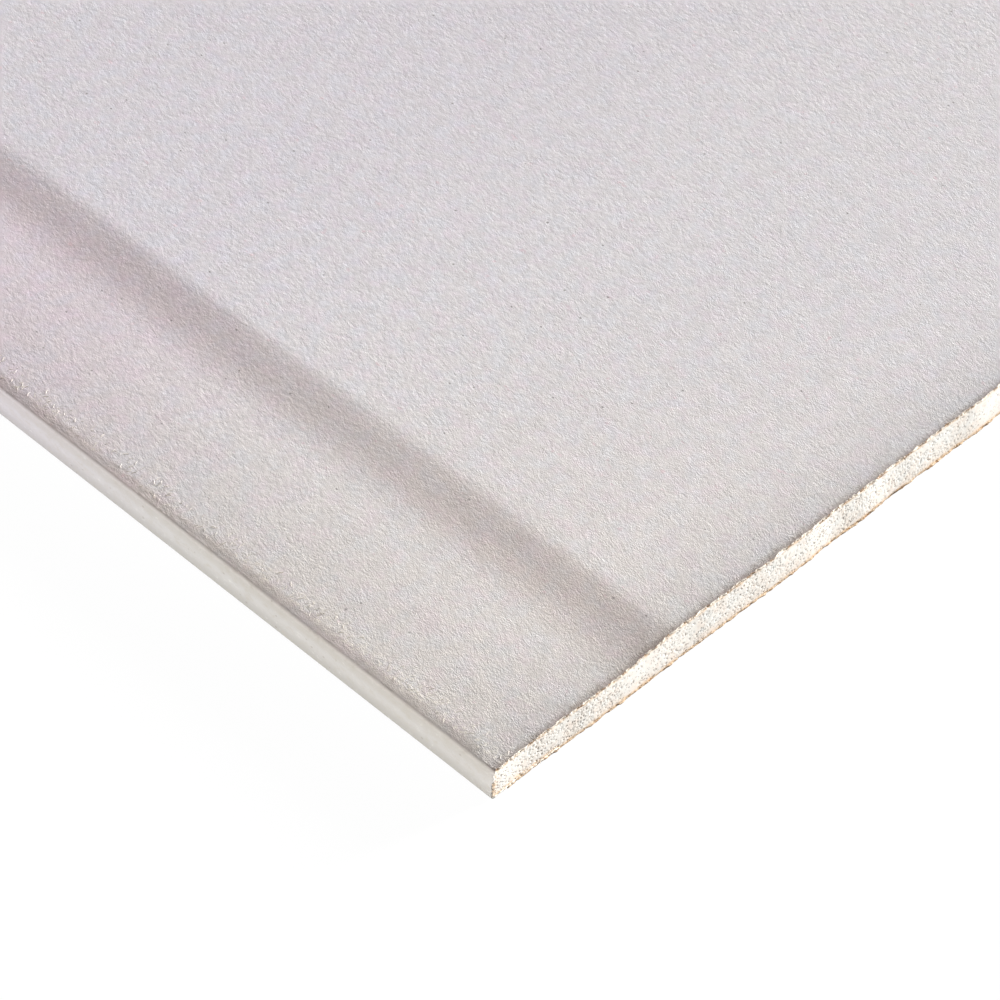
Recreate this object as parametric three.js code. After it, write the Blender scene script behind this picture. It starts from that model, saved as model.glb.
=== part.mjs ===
// A full sheet of paper-faced gypsum board, lying face up.
// Millimetres. +X runs along the sheet's length, +Y across its width, +Z up out of the face.
// The origin is in the middle of the sheet, on the plane that the back lies on.
//
// The board is made as one endless strip and cut to length, so every piece is a section in the
// YZ plane extruded along X. Three sections fill the board and share their edges point for point:
// the face paper, which wraps round both long edges, the gypsum inside it, and the back paper.

import * as THREE from 'three';

// The sheet.
const SHEET_LENGTH = 2400;
const SHEET_WIDTH = 1200;
const BOARD_THICKNESS = 12.5;

// The papers.
const FACE_PAPER_THICKNESS = 0.4;
const BACK_PAPER_THICKNESS = 0.4;
const FLAP_WIDTH = 25; // how far the face paper is folded in under the back, from the long edge
const BACK_PAPER_INSET = 6; // from the long edge to the back paper's own edge, which lies on the flap

// The tapered long edge: a short ramp down from the face, then a shallow bed for tape and filler.
const TAPER_WIDTH = 68.5; // from the long edge to the middle of the bend where the face falls away
const RAMP_WIDTH = 17.5; // from the middle of that bend to the middle of the ramp's foot
const RAMP_DROP = 1.42;
const FACE_BEND_LENGTH = 5; // a tight bend out of the face
const RAMP_FOOT_LENGTH = 18; // a slack one into the bed
const BED_FALL_WIDTH = 22; // the bed leaves the ramp level and meets the shoulder as if it fell from here
const BED_DROP = 0.88;

// The wrapped side: a rounded shoulder, a flat that leans out on its way down, a tighter lower corner.
const SHOULDER_RADIUS = 1.6;
const SIDE_LEAN = 0.8; // how far the side's foot stands out from its head
const LOWER_CORNER_RADIUS = 0.9;

// How finely the curves are faceted.
const FACE_BEND_STEPS = 6;
const RAMP_FOOT_STEPS = 8;
const BED_STEPS = 8;
const SHOULDER_STEPS = 8;
const LOWER_CORNER_STEPS = 6;

// Where a section's own x and y, and the direction that it is extruded in, point on the sheet.
const ACROSS = new THREE.Vector3(0, 1, 0);
const UP = new THREE.Vector3(0, 0, 1);
const ALONG = new THREE.Vector3(1, 0, 0);

// The side is as high as the taper leaves it, down to the flap, which the back paper runs under.
const longEdge = SHEET_WIDTH / 2;
const flapUnderside = BACK_PAPER_THICKNESS;
const headHeight = BOARD_THICKNESS - RAMP_DROP - BED_DROP;
const leanAngle = Math.atan2(SIDE_LEAN, headHeight - flapUnderside);
// The rounded lower corner is what reaches the sheet's full width, so its sharp corner lies just outside.
const cornerOverhang = LOWER_CORNER_RADIUS * ((1 + Math.sin(leanAngle)) / Math.cos(leanAngle) - 1);

// The corners of the +Y long edge, before they are bent or rounded, from the face round to the back.
const middleOfFace = new THREE.Vector2(0, BOARD_THICKNESS);
const faceBend = new THREE.Vector2(longEdge - TAPER_WIDTH, BOARD_THICKNESS);
const rampFoot = new THREE.Vector2(faceBend.x + RAMP_WIDTH, faceBend.y - RAMP_DROP);
const bedFall = new THREE.Vector2(longEdge - BED_FALL_WIDTH, rampFoot.y);
const sideFoot = new THREE.Vector2(longEdge + cornerOverhang, flapUnderside);
const sideHead = new THREE.Vector2(sideFoot.x - SIDE_LEAN, headHeight);
const flapEnd = new THREE.Vector2(longEdge - FLAP_WIDTH, flapUnderside);

function directionFrom(corner, point) {
  return point.clone().sub(corner).normalize();
}

// Bends paper or board over a shallow corner: a curve that spans `length` in all.
function softBend(before, corner, after, length, steps) {
  const start = corner.clone().addScaledVector(directionFrom(corner, before), length / 2);
  const end = corner.clone().addScaledVector(directionFrom(corner, after), length / 2);
  return new THREE.QuadraticBezierCurve(start, corner, end).getPoints(steps);
}

// Rounds a right-hand corner with an arc that touches both of its straight runs.
function roundedCorner(before, corner, after, radius, steps) {
  const back = directionFrom(corner, before);
  const ahead = directionFrom(corner, after);
  const halfAngle = back.angleTo(ahead) / 2;
  const bisector = back.clone().add(ahead).normalize();
  const centre = corner.clone().addScaledVector(bisector, radius / Math.sin(halfAngle));
  const start = corner.clone().addScaledVector(back, radius / Math.tan(halfAngle));
  const sweep = Math.PI - 2 * halfAngle;
  const points = [];
  for (let step = 0; step <= steps; step += 1) {
    points.push(start.clone().rotateAround(centre, (-sweep * step) / steps));
  }
  return points;
}

// The outside of the face paper on the +Y half, from the face round the long edge to the flap's end.
function wrappedEdge() {
  const shoulder = roundedCorner(bedFall, sideHead, sideFoot, SHOULDER_RADIUS, SHOULDER_STEPS);
  const bedStart = new THREE.Vector2(rampFoot.x + RAMP_FOOT_LENGTH / 2, rampFoot.y);
  const bed = new THREE.QuadraticBezierCurve(bedStart, bedFall, shoulder[0]);
  return [
    ...softBend(middleOfFace, faceBend, rampFoot, FACE_BEND_LENGTH, FACE_BEND_STEPS),
    ...softBend(faceBend, rampFoot, bedFall, RAMP_FOOT_LENGTH, RAMP_FOOT_STEPS),
    ...bed.getPoints(BED_STEPS).slice(1, -1),
    ...shoulder,
    ...roundedCorner(sideHead, sideFoot, flapEnd, LOWER_CORNER_RADIUS, LOWER_CORNER_STEPS),
    flapEnd,
  ];
}

// The same outline moved inwards by the paper's thickness, each point along the bisector of its corner.
function insideOf(outline, thickness) {
  const last = outline.length - 1;
  return outline.map((point, index) => {
    const arriving = index === 0 ? new THREE.Vector2(1, 0) : directionFrom(outline[index - 1], point);
    const leaving = index === last ? arriving : directionFrom(point, outline[index + 1]);
    const bisector = arriving.clone().add(leaving).normalize();
    const inward = new THREE.Vector2(bisector.y, -bisector.x);
    return point.clone().addScaledVector(inward, thickness / bisector.dot(leaving));
  });
}

// Mirrors a +Y half outline to the -Y side and joins the two, from the -Y end over the face to the +Y end.
function bothSides(half) {
  const mirrored = half.map((point) => new THREE.Vector2(-point.x, point.y)).reverse();
  return [...mirrored, ...half];
}

// Extrudes a closed section over the sheet's length.
function strip(section, name, colour, roughness) {
  const geometry = new THREE.ExtrudeGeometry(new THREE.Shape(section), {
    depth: SHEET_LENGTH,
    bevelEnabled: false,
  });
  geometry.translate(0, 0, -SHEET_LENGTH / 2);
  geometry.applyMatrix4(new THREE.Matrix4().makeBasis(ACROSS, UP, ALONG));
  const material = new THREE.MeshStandardMaterial({ color: colour, roughness, metalness: 0 });
  const mesh = new THREE.Mesh(geometry, material);
  mesh.name = name;
  return mesh;
}

const paperOutside = wrappedEdge();
const paperInside = insideOf(paperOutside, FACE_PAPER_THICKNESS);

function facePaper() {
  const section = [...bothSides(paperOutside), ...bothSides(paperInside).reverse()];
  return strip(section, 'face_paper', 0xd5cfd1, 0.9);
}

// The gypsum fills the wrap, and comes down between the two flaps to the back paper.
function gypsumCore() {
  return strip(bothSides([...paperInside, flapEnd]), 'gypsum_core', 0xfffaf0, 0.95);
}

// The back paper is flat and lies under the core and the outer part of each flap.
function backPaper() {
  const edge = longEdge - BACK_PAPER_INSET;
  const half = [new THREE.Vector2(edge, BACK_PAPER_THICKNESS), new THREE.Vector2(edge, 0)];
  return strip(bothSides(half), 'back_paper', 0xa08c74, 0.9);
}

const sheet = new THREE.Group();
sheet.add(gypsumCore(), facePaper(), backPaper());

export default sheet;
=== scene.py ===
"""Drywall sheet: the finish of a paper-faced gypsum board, built around its fixed frame.

The gypsum gets its crumbly sawn ends, the two papers their torn edges and felted surface, and the
tapered long edges their raised fibres. Metres throughout; lengths that are easier to read in
millimetres are multiplied by MM.
"""
import itertools
import math

import bpy
import numpy as np
from bpy.props import FloatProperty, FloatVectorProperty, IntProperty, PointerProperty
from mathutils import Euler, Matrix, Vector


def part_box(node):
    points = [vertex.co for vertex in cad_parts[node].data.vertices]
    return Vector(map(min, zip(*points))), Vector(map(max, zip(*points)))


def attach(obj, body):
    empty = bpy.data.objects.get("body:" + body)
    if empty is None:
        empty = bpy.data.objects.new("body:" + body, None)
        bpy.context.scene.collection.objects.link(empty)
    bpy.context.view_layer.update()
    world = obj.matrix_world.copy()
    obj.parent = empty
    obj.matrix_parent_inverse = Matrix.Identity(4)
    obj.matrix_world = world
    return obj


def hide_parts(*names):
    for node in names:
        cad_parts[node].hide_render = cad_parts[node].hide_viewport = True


bl_info = {
    "name": "Drywall Sheet",
    "version": (1, 0, 0),
    "blender": (4, 5, 0),
    "location": "View3D > Sidebar > Drywall",
    "description": "Builds the gypsum core, papers, fibres and stage of a tapered-edge drywall sheet",
    "category": "Object",
}

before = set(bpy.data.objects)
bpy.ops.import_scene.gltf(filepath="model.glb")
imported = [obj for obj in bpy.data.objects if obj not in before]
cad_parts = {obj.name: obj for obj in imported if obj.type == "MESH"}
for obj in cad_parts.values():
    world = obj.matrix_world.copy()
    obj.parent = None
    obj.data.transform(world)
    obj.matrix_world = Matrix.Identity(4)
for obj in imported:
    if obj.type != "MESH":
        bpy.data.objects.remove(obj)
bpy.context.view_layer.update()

MM = 0.001
BODY = "root"

SHEET_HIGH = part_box("face_paper")[1]
CORE_LOW, CORE_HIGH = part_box("gypsum_core")
BACK_LOW, BACK_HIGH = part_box("back_paper")
HALF_LENGTH = SHEET_HIGH.x
HALF_WIDTH = SHEET_HIGH.y
FACE_HEIGHT = SHEET_HIGH.z
FACE_PAPER = SHEET_HIGH.z - CORE_HIGH.z  # the two papers' thicknesses
BACK_PAPER = BACK_HIGH.z - BACK_LOW.z
SLIDE_RUN = 40 * MM  # distance along the board over which the ramp moves to its place away from the cut

# Seeds of the noise in each part of the meshes. A part uses a few numbers on from its own.
RAMP_SEED, SAW_SEED, BURR_SEED, GYPSUM_SEED, FACE_TEAR_SEED, BACK_TEAR_SEED = 21, 31, 41, 50, 61, 71


def srgb(red, green, blue):
    """A colour written as 0 to 255 screen values, as the linear values that nodes take."""
    values = [value / 255 for value in (red, green, blue)]
    return tuple(value / 12.92 if value <= 0.04045 else ((value + 0.055) / 1.055) ** 2.4 for value in values)


# ---------------------------------------------------------------------------------------------
# Noise for mesh code: smooth value noise on a lattice, the same on every run.

LATTICE_SIZE = 4096
LATTICE_VALUES = np.random.RandomState(3).uniform(-1, 1, LATTICE_SIZE)
LATTICE_ORDER = np.random.RandomState(4).permutation(LATTICE_SIZE)


def lattice(cells, seed):
    """A fixed random value from -1 to 1 for each whole-number row of `cells`."""
    slot = LATTICE_ORDER[seed % LATTICE_SIZE]
    for axis in range(cells.shape[-1]):
        slot = LATTICE_ORDER[(slot + cells[..., axis]) & (LATTICE_SIZE - 1)]
    return LATTICE_VALUES[slot]


def noise(size, seed, *coordinates):
    """Smooth noise from -1 to 1 whose bumps are about `size` across."""
    points = np.stack(np.broadcast_arrays(*coordinates), axis=-1) / size
    cells = np.floor(points).astype(np.int64)
    share = points - cells
    blend = share * share * (3 - 2 * share)
    total = np.zeros(points.shape[:-1])
    for corner in itertools.product((0, 1), repeat=points.shape[-1]):
        weight = np.where(np.array(corner), blend, 1 - blend).prod(axis=-1)
        total += weight * lattice(cells + np.array(corner), seed)
    return total


def pits(spacing, largest, share, seed, across, up):
    """Depth from 0 to 1 of round pits, one in some squares of `spacing`, of random place and size."""
    points = np.stack(np.broadcast_arrays(across, up), axis=-1)
    home = np.floor(points / spacing).astype(np.int64)
    depth = np.zeros(points.shape[:-1])
    for step in itertools.product((-1, 0, 1), repeat=2):
        cells = home + np.array(step)
        centre_y = (cells[..., 0] + 0.5 + 0.4 * lattice(cells, seed)) * spacing
        centre_z = (cells[..., 1] + 0.5 + 0.4 * lattice(cells, seed + 1)) * spacing
        radius = largest * (0.7 + 0.3 * lattice(cells, seed + 2))
        distance = np.hypot(points[..., 0] - centre_y, points[..., 1] - centre_z) / radius
        bowl = np.sqrt(np.clip(1 - distance**2, 0, 1))
        depth = np.maximum(depth, np.where(lattice(cells, seed + 3) < 2 * share - 1, bowl, 0))
    return depth


def smoothstep(low, high, value):
    """0 up to low and 1 from high on, with soft ends."""
    share = np.clip((value - low) / (high - low), 0, 1)
    return share * share * (3 - 2 * share)


# ---------------------------------------------------------------------------------------------
# Sections: the outlines of the CAD nodes' ends, read from the frame and walked by distance.


def end_loop(node_name):
    """The outline of a node's +X end as an ordered list of (y, z) points, anticlockwise from +X."""
    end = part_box(node_name)[1].x
    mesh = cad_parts[node_name].data
    places = [(round(v.co.x, 6), round(v.co.y, 7), round(v.co.z, 7)) for v in mesh.vertices]
    edges = set()
    for face in mesh.polygons:
        corners = [places[index] for index in face.vertices]
        if all(abs(corner[0] - end) < 1e-5 for corner in corners):
            for first, second in zip(corners, corners[1:] + corners[:1]):
                if (second, first) in edges:
                    edges.remove((second, first))
                else:
                    edges.add((first, second))
    following = dict(edges)
    point = min(following, key=lambda place: (place[2], -place[1]))
    loop = []
    for _ in range(len(following)):
        loop.append(point[1:])
        point = following[point]
    return np.array(loop)


class Outline:
    """An open outline in the YZ plane, made smooth through its points and read by distance along it."""

    STEPS = 12

    def __init__(self, points, smooth=True):
        points = np.asarray(points, float)
        if smooth:
            points = self.through(points)
        self.points = points
        steps = np.linalg.norm(np.diff(points, axis=0), axis=1)
        self.along = np.concatenate([[0], np.cumsum(steps)])
        self.length = self.along[-1]
        direction = np.gradient(points, self.along, axis=0)
        direction /= np.linalg.norm(direction, axis=1, keepdims=True)
        self.normals = np.stack([direction[:, 1], -direction[:, 0]], axis=1)

    @classmethod
    def through(cls, points):
        """Curves through the points. Where a long run meets short ones, it sets the direction."""
        runs = np.diff(points, axis=0)
        lengths = np.linalg.norm(runs, axis=1, keepdims=True)
        headings = runs / lengths
        tangents = np.empty_like(points)
        tangents[0], tangents[-1] = headings[0], headings[-1]
        tangents[1:-1] = headings[:-1] * lengths[:-1] ** 3 + headings[1:] * lengths[1:] ** 3
        tangents[1:-1] /= lengths[:-1] ** 3 + lengths[1:] ** 3
        share = np.linspace(0, 1, cls.STEPS, endpoint=False)[None, :, None]
        start, end = points[:-1, None, :], points[1:, None, :]
        out = (tangents[:-1] * lengths)[:, None, :]
        into = (tangents[1:] * lengths)[:, None, :]
        curve = (
            (2 * share**3 - 3 * share**2 + 1) * start
            + (share**3 - 2 * share**2 + share) * out
            + (3 * share**2 - 2 * share**3) * end
            + (share**3 - share**2) * into
        )
        return np.concatenate([curve.reshape(-1, 2), points[-1:]])

    def at(self, distances):
        return np.stack([np.interp(distances, self.along, part) for part in self.points.T], axis=1)

    def normal(self, distances):
        found = np.stack([np.interp(distances, self.along, part) for part in self.normals.T], axis=1)
        return found / np.linalg.norm(found, axis=1, keepdims=True)


def paper_halves(node_name):
    """The outside and the inside of a paper's section, both from its +Y end round to its -Y end."""
    loop = end_loop(node_name)
    middle = (loop[:, 1].min() + loop[:, 1].max()) / 2
    low = (loop[:, 1] < middle) & (loop[:, 0] > 0)
    order = np.where(low)[0]
    start = min(order, key=lambda index: (round(loop[index, 0], 5), loop[index, 1]))
    loop = np.roll(loop, -start, axis=0)
    half = len(loop) // 2
    return loop[:half], loop[half:][::-1]


# The face paper's outline runs from the +Y flap, up the +Y side, over the face and down the -Y side.
FACE_OUTSIDE, FACE_INSIDE = paper_halves("face_paper")
FACE_OUTLINE = Outline(FACE_OUTSIDE)
# Distances along it of the CAD outline's own points.
CAD_STEPS = np.interp(
    np.arange(len(FACE_OUTSIDE)) * Outline.STEPS,
    np.arange(len(FACE_OUTLINE.along)),
    FACE_OUTLINE.along,
)


def ripple(x, y):
    """How far the taper's ramp wanders sideways along the board, as rollers and drying leave it."""
    settings = bpy.context.scene.drywall_paper
    side = np.sign(y)
    from_cut, from_edge = HALF_LENGTH - np.abs(x), HALF_WIDTH - np.abs(y)
    away = smoothstep(settings.slide_start, settings.slide_start + SLIDE_RUN, from_cut)
    top = smoothstep(50 * MM, 62 * MM, from_edge)
    foot = smoothstep(34 * MM, 44 * MM, from_edge) * (1 - top)
    # Away from the cut the ramp's top lies further out, and near the cut its foot lies further in.
    slide = side * settings.ramp_slide * (away * top - (1 - away) * foot)
    slow = 0.9 * MM * noise(70 * MM, RAMP_SEED, x, side * 5.0)
    return slide + slow + 0.4 * MM * noise(23 * MM, RAMP_SEED + 1, x, side * 5.0)


def ripple_lift(x, y, normal_y, normal_z):
    """The rise of the taper's surface where the ramp has wandered sideways."""
    slope = np.where(normal_z > 0.985, -normal_y / np.maximum(normal_z, 0.1), 0)
    return -slope * ripple(x, y)


# ---------------------------------------------------------------------------------------------
# Mesh building: rows of points joined into one closed skin.


class Skin:
    """Collects rows of vertices, with named values on them, and the faces between them."""

    def __init__(self, *attributes):
        self.attributes = attributes
        self.vertices = []
        self.values = []
        self.count = 0
        self.quads = []
        self.triangles = []

    def row(self, points, *values):
        points = np.asarray(points, float)
        self.vertices.append(points)
        given = list(values) + [0.0] * (len(self.attributes) - len(values))
        self.values.append([np.broadcast_to(value, len(points)) for value in given])
        indices = np.arange(self.count, self.count + len(points))
        self.count += len(points)
        return indices

    def bridge(self, first, second, first_at=None, second_at=None, material=0):
        """Faces between two rows. Rows of unlike counts are zipped by their places `..._at`."""
        if len(first) == len(second):
            faces = np.stack([first[:-1], first[1:], second[1:], second[:-1]], axis=1)
            self.quads.append((faces, material))
            return
        i = j = 0
        faces = []
        while i < len(first) - 1 or j < len(second) - 1:
            first_next = first_at[i + 1] if i < len(first) - 1 else math.inf
            second_next = second_at[j + 1] if j < len(second) - 1 else math.inf
            if first_next <= second_next:
                faces.append((first[i], first[i + 1], second[j]))
                i += 1
            else:
                faces.append((first[i], second[j + 1], second[j]))
                j += 1
        self.triangles.append((np.array(faces), material))

    def mesh(self, name):
        mesh = bpy.data.meshes.new(name)
        groups = self.quads + self.triangles
        faces = [face for block, _ in groups for face in block.tolist()]
        materials = np.concatenate([np.full(len(block), material) for block, material in groups])
        mesh.from_pydata(np.concatenate(self.vertices).tolist(), [], faces)
        mesh.polygons.foreach_set("material_index", materials.astype(np.int32))
        mesh.polygons.foreach_set("use_smooth", np.ones(len(materials), bool))
        for index, attribute in enumerate(self.attributes):
            layer = mesh.attributes.new(attribute, "FLOAT", "POINT")
            column = np.concatenate([values[index] for values in self.values])
            layer.data.foreach_set("value", column.astype(np.float32))
        mesh.update()
        return mesh


def piece(name, mesh, slot, *materials, replaces=None):
    """Links a finished mesh as a piece that rides on the sheet."""
    thing = bpy.data.objects.new(name, mesh)
    bpy.context.scene.collection.objects.link(thing)
    thing.data.materials.clear()
    for material in materials:
        thing.data.materials.append(material)
    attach(thing, BODY)
    if replaces:
        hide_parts(replaces)
    return thing


# ---------------------------------------------------------------------------------------------
# The cut ends: how ragged each layer is where the board was sawn to length.

PLUS_END, MINUS_END = 1, -1


def saw_line(end, y):
    """How far the saw strayed from square, positive outwards, for every layer of one end."""
    slow = 0.3 * MM * noise(45 * MM, SAW_SEED + end, y)
    return slow + 0.3 * MM * noise(12 * MM, SAW_SEED + 2 + end, y)


def paper_tear(place, seed):
    """How far a paper's own edge strays from the saw line, in shares of the tear, positive outwards."""
    ragged = 0.25 * noise(6 * MM, seed + 8, place) + 0.35 * noise(2.2 * MM, seed, place)
    return ragged + 0.6 * noise(1.1 * MM, seed + 2, place) + 0.4 * noise(0.6 * MM, seed + 4, place)


def burr(place, seed):
    """Height of the lip that the saw raised along the face paper's cut edge."""
    settings = bpy.context.scene.drywall_cut
    height = 0.8 + 0.25 * noise(5.3 * MM, seed, place) + 0.2 * noise(1.7 * MM, seed + 1, place)
    return settings.burr * np.clip(height, 0.3, 1)


# ---------------------------------------------------------------------------------------------
# Piece: the gypsum core, with a rough sawn face at both ends.


def core_curves():
    """The core's end as four outlines: its bottom and its top towards +Y, and its two sides upwards."""
    loop = end_loop("gypsum_core")
    inside = FACE_INSIDE[::-1]
    half = len(inside) // 2
    width = np.abs(inside[:, 0])
    # The sides are the two stretches that are steeper than 45 degrees.
    steps = np.diff(inside, axis=0)
    upright = np.abs(steps[:, 1]) > np.abs(steps[:, 0])
    side_steps = np.where(upright[:half])[0]
    left = (side_steps[0], side_steps[-1] + 1)
    mirror = len(inside) - 1
    right = (mirror - left[1], mirror - left[0])
    top = Outline(inside[left[1] : right[0] + 1])
    left_side = Outline(inside[left[0] : left[1] + 1])
    right_side = Outline(inside[right[0] : right[1] + 1][::-1])
    flap_edge = width[0]
    low, lip = loop[:, 1].min(), inside[0, 1]
    corner = inside[left[0]]
    slant = 0.2 * MM  # the step down beside a flap leans by this much, so that the columns keep their order
    bottom = Outline(
        [corner, (-flap_edge - slant, lip), (-flap_edge, low), (flap_edge, low),
         (flap_edge + slant, lip), (-corner[0], corner[1])],
        smooth=False,
    )
    return bottom, top, left_side, right_side


def core_section(y_places, rows):
    """Points over the core's end: one column for each place across it, each with `rows` points."""
    bottom, top, left, right = core_curves()
    across = (y_places + HALF_WIDTH) / (2 * HALF_WIDTH)
    up = np.linspace(0, 1, rows)
    low = bottom.at(across * bottom.length)[:, None, :]
    high = top.at(across * top.length)[:, None, :]
    side_left = left.at(up * left.length)[None, :, :]
    side_right = right.at(up * right.length)[None, :, :]
    right_share, top_share = across[:, None, None], up[None, :, None]
    left_share, bottom_share = 1 - right_share, 1 - top_share
    start, end = bottom.at([0])[0], bottom.at([bottom.length])[0]
    top_start, top_end = top.at([0])[0], top.at([top.length])[0]
    ruled = bottom_share * low + top_share * high + left_share * side_left + right_share * side_right
    corners = (
        left_share * bottom_share * start + right_share * bottom_share * end
        + left_share * top_share * top_start + right_share * top_share * top_end
    )
    return ruled - corners


def crumble(end, y, z, floor_z, roof_z):
    """How deep the broken gypsum lies inside the cut, and the shares of pore and of paper stain there."""
    settings = bpy.context.scene.drywall_cut
    seed = GYPSUM_SEED + 10 * end
    grain = 0.6 * noise(3.1 * MM, seed, y, z) + 0.4 * noise(1.15 * MM, seed + 1, y, z)
    grain = grain + 0.3 * noise(0.55 * MM, seed + 2, y, z)
    crowd = 0.3 + 0.3 * noise(14 * MM, seed + 6, y, z * 0.5)
    large_pores = pits(1.3 * MM, 0.32 * MM, crowd, seed + 3, y, z)
    small_pores = pits(0.8 * MM, 0.24 * MM, crowd, seed + 7, y, z)
    pore = np.maximum(large_pores, small_pores)
    from_side = HALF_WIDTH - FACE_PAPER - np.abs(y)
    from_paper = np.minimum(np.minimum(z - floor_z, roof_z - z), from_side)
    chips = smoothstep(0.1, 0.7, noise(2.4 * MM, seed + 5, y, z * 0.3))
    chips = chips * (1 - smoothstep(0, 0.9 * MM, from_paper))
    depth = settings.roughness * (1 + grain) + settings.pore_depth * pore + 0.2 * MM * chips
    # The stain reaches furthest in from the sides and least far down from the face.
    stained = np.minimum(np.minimum(0.85 * (z - floor_z), 1.25 * (roof_z - z)), from_side / 2.4)
    stained = stained + 0.35 * MM * noise(1.8 * MM, seed + 9, y, z)
    return depth, np.clip(pore, 0, 1), 1 - smoothstep(0, 1.3 * MM, stained)


COARSE_ROWS = 17  # rows from back to face over the part of an end that isn't finely stepped


def end_columns(fine_corner):
    """Places of the columns across one end, and the rows in each: fine near one corner, else coarser."""
    settings = bpy.context.scene.drywall_cut
    if not fine_corner:
        count = int(2 * HALF_WIDTH / settings.grain)
        return [(np.linspace(-HALF_WIDTH, HALF_WIDTH, count), COARSE_ROWS)]
    near = np.arange(-HALF_WIDTH, -HALF_WIDTH + settings.fine_width, settings.fine_grain)
    count = int((HALF_WIDTH - near[-1]) / settings.grain)
    far = np.linspace(near[-1] + settings.grain, HALF_WIDTH, count)
    fine_rows = int((CORE_HIGH.z - CORE_LOW.z) / settings.fine_grain)
    return [(near, fine_rows), (far, COARSE_ROWS)]


def core_end(skin, end, fine_corner):
    """Adds one rough end face and returns its rim, anticlockwise from +X, with each point's (y, z)."""
    columns, last, last_up = [], None, None
    for y_places, rows in end_columns(fine_corner):
        section = core_section(y_places, rows)
        y, z = section[..., 0], section[..., 1]
        depth, pore, rim = crumble(end, y, z, z[:, :1], z[:, -1:])
        x = end * (HALF_LENGTH + saw_line(end, y) - depth)
        up = np.linspace(0, 1, rows)
        for index in range(len(y_places)):
            points = np.stack([x[index], y[index], z[index]], axis=1)
            row = skin.row(points, pore[index], rim[index])
            if last is not None:
                if end == PLUS_END:
                    skin.bridge(row, last, up, last_up)
                else:
                    skin.bridge(last, row, last_up, up)
            last, last_up = row, up
            columns.append((row, section[index]))
    first, final = columns[0], columns[-1]
    bottom = [(row[0], place[0]) for row, place in columns]
    top = [(row[-1], place[-1]) for row, place in columns][::-1]
    right = list(zip(final[0], final[1]))[1:-1]
    left = list(zip(first[0], first[1]))[1:-1][::-1]
    border = bottom + right + top + left
    return np.array([item[0] for item in border]), np.array([item[1] for item in border])


def around(places):
    """Place of each point round a closed loop, from 0 to 1, by distance. The start comes again as 1."""
    steps = np.linalg.norm(np.diff(np.concatenate([places, places[:1]]), axis=0), axis=1)
    along = np.concatenate([[0], np.cumsum(steps)])
    return along / along[-1]


RING_POINTS = {"bottom": 60, "top": 160, "side": 12}  # round the core, just inside each end
RING_INSET = 4 * MM


def build_gypsum_core():
    skin = Skin("pore", "rim")
    plus_rim, plus_places = core_end(skin, PLUS_END, True)
    minus_rim, minus_places = core_end(skin, MINUS_END, False)
    bottom, top, left, right = core_curves()
    loop = np.concatenate([
        bottom.at(np.linspace(0, bottom.length, RING_POINTS["bottom"]))[:-1],
        right.at(np.linspace(0, right.length, RING_POINTS["side"]))[:-1],
        top.at(np.linspace(top.length, 0, RING_POINTS["top"]))[:-1],
        left.at(np.linspace(left.length, 0, RING_POINTS["side"]))[:-1],
    ])
    rings = []
    for end in (PLUS_END, MINUS_END):
        x = np.full(len(loop), end * (HALF_LENGTH - RING_INSET))
        rings.append(skin.row(np.column_stack([x, loop])))
    plus_ring, minus_ring, plus_rim, minus_rim = [
        np.append(row, row[0]) for row in (*rings, plus_rim, minus_rim)
    ]
    skin.bridge(plus_ring, plus_rim, around(loop), around(plus_places))
    skin.bridge(minus_ring, plus_ring)
    skin.bridge(minus_rim, minus_ring, around(minus_places), around(loop))
    return skin.mesh("gypsum_core_finish")


# ---------------------------------------------------------------------------------------------
# Pieces: the face paper and the back paper, thin sheets with torn ends.

# Rows across a paper, by their distance in from the cut: first some whose points are all finely stepped,
# then ever coarser ones, with the steps given below them, out to the plain length of the board.
END_STATIONS = np.array([0, 0.25, 0.6, 1.1, 1.8, 2.8, 4.2]) * MM
FADE_STATIONS = np.array([6, 9, 15, 28]) * MM
FADE_STEPS = np.array([1.6, 4, 12, 40]) * MM
RIM_WIDTH = 0.7 * MM  # how far in the dust of the cut reaches
TEAR_REACH = 2.6 * MM  # how far in the rows still follow the torn edge
FUZZ = 0.12 * MM  # how far the torn edge's inner side strays from its outer side


def edge_places(outline, end):
    """Places along a cut edge: fine near the +X, -Y corner and coarser over the rest."""
    settings = bpy.context.scene.drywall_paper
    split = outline.length - settings.fine_length if end == PLUS_END else outline.length
    coarse = np.linspace(0, split, int(split / settings.edge_step))
    fine = np.arange(split, outline.length, settings.fine_step)
    return np.concatenate([coarse[:-1], fine, [outline.length]])


def fade_places(outline, key_places, step):
    """Places for a row that leads from the fine edge to the plain board, `step` apart, with the keys kept."""
    marks = np.linspace(0, outline.length, int(outline.length / step) + 1)
    gap = np.abs(marks[:, None] - key_places[None, :]).min(axis=1)
    return np.sort(np.concatenate([marks[gap > step * 0.35], key_places]))


def end_rows(outline, key_places, end):
    """The rows near one end, from the cut inwards, each as its x, its places, the end and its inset."""
    found = [(inset, edge_places(outline, end)) for inset in END_STATIONS]
    for inset, step in zip(FADE_STATIONS, FADE_STEPS):
        found.append((inset, fade_places(outline, key_places, step)))
    return [(end * (HALF_LENGTH - inset), places, end, inset) for inset, places in found]


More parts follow.
